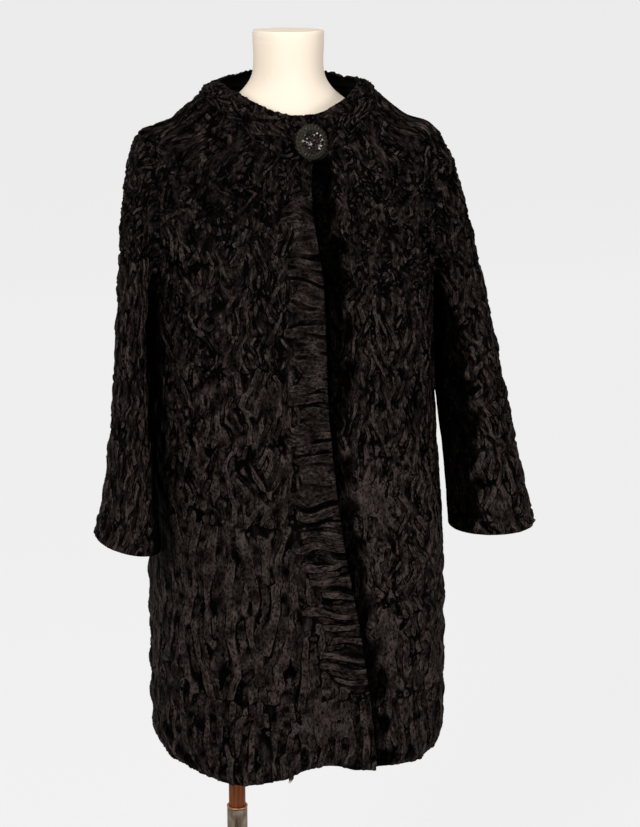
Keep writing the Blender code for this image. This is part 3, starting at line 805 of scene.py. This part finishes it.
def pelt(name, surface, u, v, map_xz, table, seed, edges, ring=False, extra=None, shade_and_press=None):
    """One sewn piece of fur: the solid's outer face with the relief carved in, an inner face and rims.

    The outer face is surface(u, v) less its normals times the relief's depth. The inner face is the surface
    less the wall, on a coarser grid. edges names the grid's sides that are free, where the pelt turns in
    round a quarter circle. extra changes the relief, the brightness and the hair's map, and the last argument
    says where the fur is flattened and darkened by painted shade.
    """
    u, v = np.broadcast_arrays(u, v)
    face = surface(u, v)
    out = normals(surface, u, v)
    x, z = map_xz(u, v, face)
    relief, tone_and_shade, flow = pelts(table, x, z, seed)
    if extra:
        relief, tone_and_shade, flow = extra(u, v, face, relief, tone_and_shade, flow)
    relief = comb(name, x, z, relief)
    depth = carve(*np.moveaxis(relief, -1, 0)) - SWELL * drift(x, z, 0.026, seed + 9)
    depth = np.clip(depth, SHALLOWEST, DEEPEST)
    # Between sleeve and body the fur is darkened by painted shade, and its relief is flattened.
    if shade_and_press:
        shaded_and_rubbed = shade_and_press(u, z)
        tone_and_shade = tone_and_shade * (1 - PAINTED_SHADE_WHERE_RUBBED * shaded_and_rubbed)
        depth = depth * (1 - RUBBED_FLAT * shaded_and_rubbed)
    sink = np.zeros(u.shape)
    sides = {"low": (0, 1), "high": (0, -1)}
    if not ring:
        sides.update({"first": (1, 1), "last": (1, -1)})
    for side, (axis, way) in sides.items():
        away = from_side(face, axis, way)
        if side in edges.split():
            t = np.clip(1 - away / ROUND_EDGE, 0, 1)
            sink = np.maximum(sink, ROUND_EDGE * (1 - np.sqrt(1 - t**2)))
        else:
            depth = depth * step(away, 0, SEWN_EDGE)
            relief[..., 0] *= 0.3 + 0.7 * step(away, 0, 0.8 * SEWN_EDGE)
    thinnest = 0.0004
    outer = face - out * (depth / 1000 + sink)[..., None].clip(SHALLOWEST / 1000, WALL - thinnest)
    inner = (face - out * WALL)[::COARSE, ::COARSE]
    rows, columns = u.shape
    top = np.arange(rows * columns).reshape(rows, columns)
    low = rows * columns + np.arange(inner.shape[0] * inner.shape[1]).reshape(inner.shape[:2])

    def rim(line, under, flip):
        """Faces with five outer corners and two inner ones along one side."""
        count = len(under) - 1 if not ring else len(under)
        made = [line[(COARSE * np.arange(count) + k) % len(line)] for k in range(COARSE + 1)]
        made += [under[(np.arange(count) + 1) % len(under)], under[np.arange(count)]]
        made = np.stack(made, -1)
        return made[:, ::-1] if flip else made

    rims = [rim(top[0], low[0], True), rim(top[-1], low[-1], False)]
    if not ring:
        rims += [rim(top[:, 0], low[:, 0], False), rim(top[:, -1], low[:, -1], True)]
    faces = [grid_faces(top, ring), grid_faces(low, ring)[:, ::-1], np.concatenate(rims)]
    points = np.concatenate([outer.reshape(-1, 3), inner.reshape(-1, 3)])
    pad = len(points) - rows * columns
    fields = {
        "relief": np.concatenate([relief.reshape(-1, 3), np.zeros((pad, 3))]),
        "tone_and_shade": np.concatenate([tone_and_shade.ravel(), np.ones(pad)]),
        "flow": np.concatenate([flow.reshape(-1, 3), np.zeros((pad, 3))]),
    }
    obj = mesh_of("fur_" + name, points, faces, flat=(2,), second=(1,), looks=(fur, lining), fields=fields)
    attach(obj, "form")
    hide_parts(name)


def body_levels():
    """Levels of the rows, even below the armhole and beside it by a cosine, so close together at its ends."""
    below = np.linspace(0, UNDERARM, 269)[:-1]
    turn = np.linspace(math.pi, 0, 133)
    beside = UNDERARM + (TIP - UNDERARM) * (1 + np.cos(turn)) / 2
    above = np.linspace(TIP, TOP, 41)[1:]
    return np.concatenate([below, beside, above])[:, None]


def body_map(angle, level, face):
    """The pelts' flat map: the angle times the body's mean radius, and the height."""
    mean_radius = 0.19
    return mean_radius * angle, face[..., 2]


def under_arm_shade_and_press(angle, z):
    """How far the sleeves flatten the fur and how much painted shade darkens it: a flat-topped bell of the
    angle round each side, times a step of the height where it starts and one where it ends."""
    half_width, starts, ends = math.radians(24), (0.70, 0.84), (1.10, 1.22)  # starts and ends going up
    from_back = np.abs(angle % (2 * math.pi) - math.pi)
    beside = np.exp(-(((from_back - math.pi / 2) / half_width) ** 4))
    return beside * step(z, *starts) * (1 - step(z, *ends))


def body_panel(name, surface, first, last, columns, table, seed, edges, extra=None):
    """A front or the back: its columns lie evenly between the angles first(level) and last(level)."""
    level = body_levels()
    half_seam = 0.0001  # angle that keeps two sewn edges a few hundredths of a millimetre apart
    start, end = first(level) + half_seam, last(level) - half_seam
    angle = start + (end - start) * np.linspace(0, 1, columns)
    pelt(
        name, surface, angle, level, body_map, table, seed, edges=edges, extra=extra,
        shade_and_press=under_arm_shade_and_press,
    )


EDGE_RADIUS = 0.17  # of the fronts where they meet, to turn an angle into a length


def rungs(angle, level, face, relief, tone_and_shade, flow):
    """Along the right front's free edge the furrows lie across, like rungs, in a strip with a ragged side.

    Their field is waves along the height. High up the strip is combed flat, so only the deepest rungs stay.
    """
    width, fades, spacing, length = 0.040, 0.062, 0.0090, 0.050
    away = (free_edge(level) - angle) * EDGE_RADIUS
    z = face[..., 2]
    near = 1 - step(away + 0.010 * drift(away, z, 0.025, 75), width, fades)
    near = near * (1 - step(z, 1.27, 1.31)) * step(z, 0.60, 0.63)
    swirl = 0.003 * drift(away, z, 0.05, 71)
    main = waves(z + swirl, away + swirl, spacing, length, 72)
    crease = waves(z + swirl, away, 0.006, 0.03, 73)
    low = 1 - step(z, 0.76, 0.84)
    # How dark the rungs' hollows are: painted shade, more of it low down, and more depth in the relief.
    dark = np.clip(0.35 + 0.35 * low + 0.5 * drift(away, z, 0.025, 74), 0, 0.97)
    combed = step(z, 0.80, 0.90)
    field = main / (1.05 + 0.35 * low) * (1 - combed) + (0.42 * main - 0.48) * combed
    ladder = np.stack([field, crease, dark], -1)
    across_hair = np.stack([z + swirl, away, 0 * z], -1)
    relief = relief + (ladder - relief) * near[..., None]
    tone_and_shade = tone_and_shade * (1 - 0.38 * near * combed)
    return relief, tone_and_shade, np.where(near[..., None] > 0.5, across_hair, flow)


body_panel(
    "front_right", right_front, lambda level: -side_edge(level), free_edge, 149,
    FRONT_RIGHT_PELTS, 100, "low last", rungs,
)


def painted_lap_shadow(angle, level, face, relief, tone_and_shade, flow):
    """Beside the right front's edge the left front's fur is darkened by painted shadow, as cast by the
    lapping edge, wider at the chest.
    """
    darkest, starts, ends, wider = 0.93, 0.012, 0.030, 0.020
    z = face[..., 2]
    past = (angle - free_edge(level)) * EDGE_RADIUS - wider * step(z, 0.97, 1.06)
    shade = 1 - darkest * (1 - step(past + 0.006 * drift(past, z, 0.03, 76), starts, ends))
    return relief, tone_and_shade * shade, flow


body_panel(
    "front_left", coat_body, hidden_edge, side_edge, 149,
    FRONT_LEFT_PELTS, 300, "low first", painted_lap_shadow,
)
body_panel(
    "back", coat_body, lambda level: math.pi - side_edge(level), lambda level: math.pi + side_edge(level),
    185, BACK_PELTS, 500, "low",
)


# ---- The sleeves ----
# Set-in sleeves of the same fur, one piece each, sewn into the armholes. They are slightly belled, bend a
# little forward and are open at the cuff. The left one hangs closer to the body.
SLEEVE_PELTS = {
    "sleeve_right": (
        (0.0, 8.5, 38, 28, 32, 1.50, 0.5, 0.9),
        (0.965, 8.5, 38, 26, 32, 1.70, 0.55, 0.8),
        (1.20, 6.5, 20, 55, 24, 1.95, 0.72, 0.75),
    ),
    "sleeve_left": (
        (0.0, 8.5, 28, 40, 32, 1.50, 0.45, 0.95),
        (0.830, 9, 44, 22, 32, 1.45, 0.35, 1.0),
        (0.928, 8.5, 28, 40, 30, 1.70, 0.5, 0.9),
        (1.171, 6.5, 20, 55, 24, 1.95, 0.7, 0.85),
    ),
}


def sleeve(cuff, half_width, half_depth, lift, underarm_pull, cuff_flare, hug_middle=0.0, hug_low=0.0):
    """A sleeve's outer face, from the armhole (t = 0) to the cuff (t = 1), turn round the arm.

    Each line down the sleeve is a cubic that leaves the armhole outward and into it, as far as its pull says,
    and bends down to the cuff, an oval that is lifted on its outer side. The inner side is then moved in
    towards the body, by a bump at the middle and a step down to the cuff.
    """
    x, y, z = cuff
    side = 1 if x > 0 else -1
    shoulder_pull, cuff_pull, forward = 0.14, 0.36, 0.22
    shoulder_fall = 0.45

    def surface(turn, t):
        """The point at this turn round the arm and this far down."""
        turn, t = np.broadcast_arrays(side * turn, t)
        level = UNDERARM + (TIP - UNDERARM) * (1 + np.cos(turn)) / 2
        start = coat_body(side * (math.pi / 2 - ARMHOLE * np.sin(turn)), level)
        inward = coat_body(side * (math.pi / 2 - 0.6 * ARMHOLE * np.sin(turn)), level)
        above = (1 + np.cos(turn)) / 2
        outward = np.stack([side + 0 * above, 0 * above, -shoulder_fall * above], -1)
        pull = 1.5 * (inward - start) + 0.06 * outward  # mostly into the armhole
        pull /= np.linalg.norm(pull, axis=-1, keepdims=True)
        pull *= (underarm_pull + (shoulder_pull - underarm_pull) * above)[..., None]
        end_x = x + side * half_width * np.cos(turn)
        end = np.stack([end_x, y - half_depth * np.sin(turn), z + lift * np.cos(turn)], -1)
        flare = side * cuff_flare * above
        down = cuff_pull * np.stack([flare, -forward + 0 * above, -1 + 0 * above], -1)
        bump_in = hug_middle * np.exp(-(((t - 0.50) / 0.25) ** 2))
        hug = (bump_in + hug_low * step(t, 0, 0.5)) * (1 - above) ** 2
        hug *= step(t, 0, 0.15)
        t = t[..., None]
        return (
            start * (1 + 2 * t) * (1 - t) ** 2
            + pull * t * (1 - t) ** 2
            + end * t**2 * (3 - 2 * t)
            - down * t**2 * (1 - t)
            - np.stack([side * hug, 0 * hug, 0 * hug], -1)
        )

    return surface


def sleeve_map(turn, t, face):
    """The pelts' flat map: the turn times the sleeve's mean radius, and the height."""
    mean_radius = 0.058
    return mean_radius * turn, face[..., 2]


def beside_body_shade_and_press(low, middle, high):
    """How far the sleeve's inner side is flattened by the body and darkened by painted shade: it reaches so
    many degrees round from the side at the cuff, above it and under the arm, with a wavering edge."""
    soft, waver = 9, 5  # degrees

    def shade_and_press(turn, z):
        """1 inside the reach and 0 outside it, with a soft step from one to the other."""
        reach = low + (middle - low) * step(z, 0.84, 0.99) + (high - middle) * step(z, 1.10, 1.14)
        reach = reach + waver * drift(0.06 * turn, z, 0.02, 91)
        away = np.abs(np.degrees(turn) % 360 - 180)
        return 1 - step(away, reach - soft, reach + soft)

    return shade_and_press


SLEEVES = {
    "sleeve_right": (
        sleeve((-0.2455, -0.098, 0.822), 0.045, 0.066, lift=0.010, underarm_pull=0.09, cuff_flare=0.42),
        beside_body_shade_and_press(low=58, middle=60, high=46),
    ),
    "sleeve_left": (
        sleeve(
            (0.272, -0.090, 0.811), 0.058, 0.062, lift=0.002, underarm_pull=0.10, cuff_flare=0.25,
            hug_middle=0.0115, hug_low=0.006,
        ),
        beside_body_shade_and_press(low=62, middle=78, high=46),
    ),
}
SLEEVE_COLUMNS, SLEEVE_ROWS, ARMHOLE_GAP = 184, 261, 0.0006
for number, (name, (surface, shaded_and_rubbed)) in enumerate(SLEEVES.items()):
    turn = np.linspace(0, 2 * math.pi, SLEEVE_COLUMNS, endpoint=False)[None, :]
    # The rows lie a little closer together at the armhole.
    down = ARMHOLE_GAP + (1 - ARMHOLE_GAP) * np.linspace(0, 1, SLEEVE_ROWS)[:, None] ** 1.2
    pelt(
        name, surface, turn, down, sleeve_map, SLEEVE_PELTS[name], 700 + 200 * number,
        ring=True, edges="high", shade_and_press=shaded_and_rubbed,
    )


# ---- The collar ----
# One band of the same fur that stands away from the neck, sewn to the fronts and the back. Its right end lies
# over its left end.
COLLAR_PELTS = ((0.0, 6.5, 20, 55, 24, 1.85, 0.65, 0.75),)


def collar(angle, t):
    """The collar's outer face: from the collar seam (t = 0) up and in to the rim (t = 1).

    Each line goes straight from seam to rim and bulges out by half a sine wave. The rim is an ellipse whose
    height follows the square of the angle's cosine. Past a whole turn the right end lies over the left.
    """
    angle, t = np.broadcast_arrays(angle, t)
    last_turn = angle > math.pi
    around = np.where(last_turn, angle - 2 * math.pi, angle)
    top = np.full_like(around, float(TOP))
    seam = np.where(last_turn[..., None], right_front(around, top), coat_body(around, top))
    half_width, front, back = 0.093, 0.083, 0.070
    front_z, side_z, back_z = 1.386, 1.424, 1.436
    bulge_out = 0.006
    ahead = np.cos(around) > 0
    depth = np.where(ahead, front, back)
    radius = ((np.sin(around) / half_width) ** 2 + (np.cos(around) / depth) ** 2) ** -0.5
    over = np.where(last_turn, lap(around, top), 0)
    height = side_z + (np.where(ahead, front_z, back_z) - side_z) * np.cos(around) ** 2
    outward = np.stack([np.sin(around), -np.cos(around), np.zeros_like(around)], -1)
    rim = (radius + over)[..., None] * outward
    rim[..., 2] = height
    bulge = bulge_out * np.sin(math.pi * t)[..., None] * (outward + np.array([0, 0, 0.5]))
    return seam + (rim - seam) * t[..., None] + bulge


COLLAR_WIDTH, COLLAR_START = 0.075, math.radians(-24)
COLLAR_COLUMNS, COLLAR_ROWS = 385, 49


def collar_map(angle, t, face):
    """The pelt's flat map: the angle times the collar's mean radius, and the way up it."""
    mean_radius, low = 0.11, 0.5
    return mean_radius * angle, low + COLLAR_WIDTH * t


collar_end = 2 * math.pi + free_edge(np.array(float(TOP)))
around = np.linspace(COLLAR_START, collar_end, COLLAR_COLUMNS)[None, :]
up = np.linspace(0, 1, COLLAR_ROWS)[:, None]
pelt(
    "collar", collar, around, up, collar_map, COLLAR_PELTS, 1200,
    edges="high first last",
)


# ---- The button ----
# One large domed button of dark glass: a fluted rim round a raised middle of small facets, some painted brown
# as reflections and a few pale as glints. It is sewn on by a short stem and stands turned a little towards
# the wearer's left.
def button_material():
    """Dark glass: cells of a Voronoi pattern are the facets, black, brown as painted reflections, or, rarely,
    pale as painted glints.
    """
    look, tree, shader = material("dark_glass", (0.004, 0.004, 0.004), 0.10)
    place = node(tree, "ShaderNodeTexCoord").outputs["Object"]
    facets = node(tree, "ShaderNodeTexVoronoi", Vector=place, Scale=400.0)
    middle = attribute(tree, "middle").outputs["Fac"]
    bump(tree, shader, maths(tree, "MULTIPLY", facets.outputs["Distance"], middle), 0.0006, 1.0)
    chance = node(tree, "ShaderNodeSeparateXYZ", Vector=facets.outputs["Color"]).outputs[0]
    # Painted reflections and glints: some facets brown, a few pale.
    some, few = between(tree, chance, 0.45, 0.60, 0.0, 1.0), between(tree, chance, 0.90, 0.94, 0.0, 1.0)
    brown = mixed(tree, some, (0.0008, 0.0006, 0.0005), (0.012, 0.006, 0.004))
    painted_glints = mixed(tree, few, brown, (0.20, 0.195, 0.18))
    shade = mixed(tree, middle, (0.0115, 0.0098, 0.0062), painted_glints)
    tree.links.new(shade, shader.inputs["Base Color"])
    shader.inputs["IOR"].default_value = 1.4
    shader.inputs["Specular IOR Level"].default_value = 0.10
    return look


def add_button():
    """A dome by the cosine of t, with flutes round its rim, a ring cut and a rough raised middle."""
    size, shoulder, dome, stem, stem_length = 0.023, 0.004, 0.006, 0.004, 0.0035
    flutes, flute_deep, cut_deep, cut_at = 26, 0.0008, 0.0011, 0.53
    rows, columns = 56, 208
    t = np.linspace(0, 1, rows)[:, None]
    turn = np.linspace(0, 2 * math.pi, columns, endpoint=False)[None, :]
    reach = math.radians(84)
    radius = size * np.sin(t * reach) / math.sin(reach)
    height = shoulder + dome * np.cos(t * reach)
    rim = step(t, 0.55, 0.66) * (1 - 0.6 * step(t, 0.9, 1.0))
    height = height + flute_deep * rim * np.cos(flutes * turn)
    height = height - cut_deep * np.exp(-(((t - cut_at) / 0.03) ** 2))
    radius = radius * (1 + 0.012 * rim * np.cos(flutes * turn))
    x, y = radius * np.cos(turn), radius * np.sin(turn)
    rough = waves(x, y, 0.0024, 0.004, 41) + waves(y, x, 0.0028, 0.004, 42)
    height = height + 0.00045 * rough * (1 - step(t, 0.42, 0.52)) * step(t, 0.0, 0.06)
    back = (
        (size, 0.8 * shoulder), (0.95 * size, 0.3 * shoulder), (stem, 0), (stem, -stem_length),
        (0, -stem_length),
    )
    back = np.array(back)[:, :, None] * np.ones(columns)
    radius = np.concatenate([radius * np.ones_like(turn), back[:, 0]])
    height = np.concatenate([height, back[:, 1]])
    past_centre, up_collar, tilt = 0.033, 0.37, math.radians(12)
    angle, up = np.array([2 * math.pi + past_centre]), np.array([up_collar])
    out = Vector(normals(collar, angle, up)[0])
    facing = Matrix.Rotation(tilt, 3, "Z") @ out
    foot = Vector(collar(angle, up)[0]) + out * (SEAM + stem * math.sin(tilt)) + facing * stem_length
    foot.z += SEAM
    place = Matrix.Translation(foot) @ facing.to_track_quat("Z", "Y").to_matrix().to_4x4()
    unlit = np.zeros((len(back), columns))
    middle = np.concatenate([np.repeat(1 - step(t, 0.44, 0.54), columns, 1), unlit])
    middle = np.concatenate([middle[1:-1].ravel(), [1.0, 0.0]])
    obj = turned("glass_button", radius, height, columns, place, (button_material(),), {"middle": middle})
    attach(obj, "form")
    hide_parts("button")


add_button()


# ---- The hem tape ----
# A short end of narrow dark woven tape that has slipped out below the hem at the front. Its tip is frayed
# pale.
def tape_material():
    """Woven tape: a fine cross weave in the bump, dark brown cloth that fades to pale threads at its end."""
    dark, pale = (0.030, 0.019, 0.017), (0.42, 0.40, 0.38)
    look, tree, shader = material("woven_tape", dark, 0.8)
    end = attribute(tree, "end").outputs["Fac"]
    place = node(tree, "ShaderNodeTexCoord").outputs["Object"]
    weave = stretched_noise(tree, place, (1500, 1500, 2600), 1)
    tree.links.new(mixed(tree, end, dark, pale), shader.inputs["Base Color"])
    shader.inputs["IOR"].default_value = 1.15
    bump(tree, shader, weave, 0.0004, 0.7)
    return look


def add_tape():
    """A strip whose flat oval sections are carried down a line that bends aside by a power of the way down.

    It ends narrower, and it hangs behind the right front's wall.
    """
    width, thick, length, drop, gap = 0.0068, 0.0011, 0.040, 0.017, 0.0015
    rows, columns = 41, 24
    angle, level = np.array([math.radians(-13.5)]), np.array([0.0])
    facing = normals(coat_body, angle, level)[0]
    hem = coat_body(angle, level)[0] - facing * (WALL + gap + thick / 2)
    t = np.linspace(0, 1, rows)[:, None]
    turn = np.linspace(0, 2 * math.pi, columns, endpoint=False)[None, :]
    across = np.array([math.cos(angle[0]), math.sin(angle[0]), 0])
    through = np.array([math.sin(angle[0]), -math.cos(angle[0]), 0])
    half = width / 2 * (1 - 0.55 * step(t, 0.82, 1.0) + 0.04 * np.sin(40 * t))
    side = -0.0055 * t**2.2 + 0.0008 * np.sin(9 * t)
    flat = np.sign(np.cos(turn)) * np.abs(np.cos(turn)) ** 0.5
    x, y = side + half * flat, thick / 2 * np.sin(turn) * np.ones_like(t)
    z = hem[2] - drop + length * (1 - t) + 0 * turn
    points = np.array([hem[0], hem[1], 0]) + x[..., None] * across + y[..., None] * through
    points[..., 2] = z
    middles = np.stack([points[0].mean(0), points[-1].mean(0)])
    points = np.concatenate([points.reshape(-1, 3), middles])
    faces = closed_rings(rows, columns)
    pale = np.concatenate([np.repeat(step(t, 0.86, 0.97), columns, 1).ravel(), [0, 1]])
    obj = mesh_of("tape_end", points, faces, looks=(tape_material(),), fields={"end": pale})
    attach(obj, "form")
    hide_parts("hem_tape")


add_tape()


# ---- The stage, the lights and the camera ----
# A pale paper sweep with soft lights at both sides and above. None of it is part of the object.
def add_stage():
    """A pale sweep: a floor that curves up into a wall behind, by a quarter circle."""
    front, bend, radius, top, half_width = -13.0, 5.6, 2.4, 14.0, 14.0
    floor_rows, columns = 8, 3
    turn = np.linspace(0, math.pi / 2, 12)[1:]
    y = np.concatenate([np.linspace(front, bend, floor_rows), bend + radius * np.sin(turn), [bend + radius]])
    z = np.concatenate([np.zeros(floor_rows), radius - radius * np.cos(turn), [top]])
    x = np.linspace(-half_width, half_width, columns)
    points = np.stack(np.broadcast_arrays(x[None, :], y[:, None], z[:, None]), -1)
    numbers = np.arange(len(y) * columns).reshape(-1, columns)
    look, _, shader = material("studio", (0.06, 0.06, 0.06), 0.9)
    shader.inputs["Emission Color"].default_value = (1, 1, 1, 1)
    shader.inputs["Emission Strength"].default_value = 0.80
    obj = mesh_of("studio_sweep", points.reshape(-1, 3), [grid_faces(numbers)], looks=(look,), closed=False)
    obj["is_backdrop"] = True


add_stage()


def add_light(name, place, aim, size, power):
    """A white rectangle of light at place that faces aim."""
    data = bpy.data.lights.new(name, "AREA")
    data.shape = "RECTANGLE"
    data.size, data.size_y = size
    data.energy = power
    light = bpy.data.objects.new(name, data)
    light.location = place
    light.rotation_euler = (Vector(aim) - Vector(place)).to_track_quat("-Z", "Y").to_euler()
    bpy.context.scene.collection.objects.link(light)


add_light("key", (-2.1, -2.7, 2.5), (0, 0, 1.0), (1.2, 1.6), 160)
add_light("fill", (2.4, -2.6, 1.9), (0, 0, 0.9), (1.2, 1.6), 85)
add_light("top", (0.0, -0.6, 3.2), (0, 0, 1.0), (1.6, 1.2), 30)

# The world lights the scene dimly, and is bright only where the camera looks past the sweep.
world = bpy.data.worlds.new("studio")
bpy.context.scene.world = world
world.use_nodes = True
sky = world.node_tree.nodes["Background"]
sky.inputs["Color"].default_value = (0.5, 0.5, 0.5, 1)
seen = node(world.node_tree, "ShaderNodeLightPath").outputs["Is Camera Ray"]
strength = between(world.node_tree, seen, 0.0, 1.0, 0.15, 1.72)
world.node_tree.links.new(strength, sky.inputs["Strength"])
bpy.context.scene.view_settings.view_transform = "Standard"

camera = bpy.data.objects.new("camera", bpy.data.cameras.new("camera"))
camera.location = (-0.6493, -2.9289, 1.72)
camera.rotation_euler = (math.radians(75.8), 0, math.radians(-13.31))
camera.data.lens = 96.64
camera.data.sensor_width = 36
bpy.context.scene.collection.objects.link(camera)
bpy.context.scene.camera = camera

boxes = {"cad": cad_box, "visual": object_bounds()}
boxes = {name: [[round(float(v), 5) for v in corner] for corner in box] for name, box in boxes.items()}
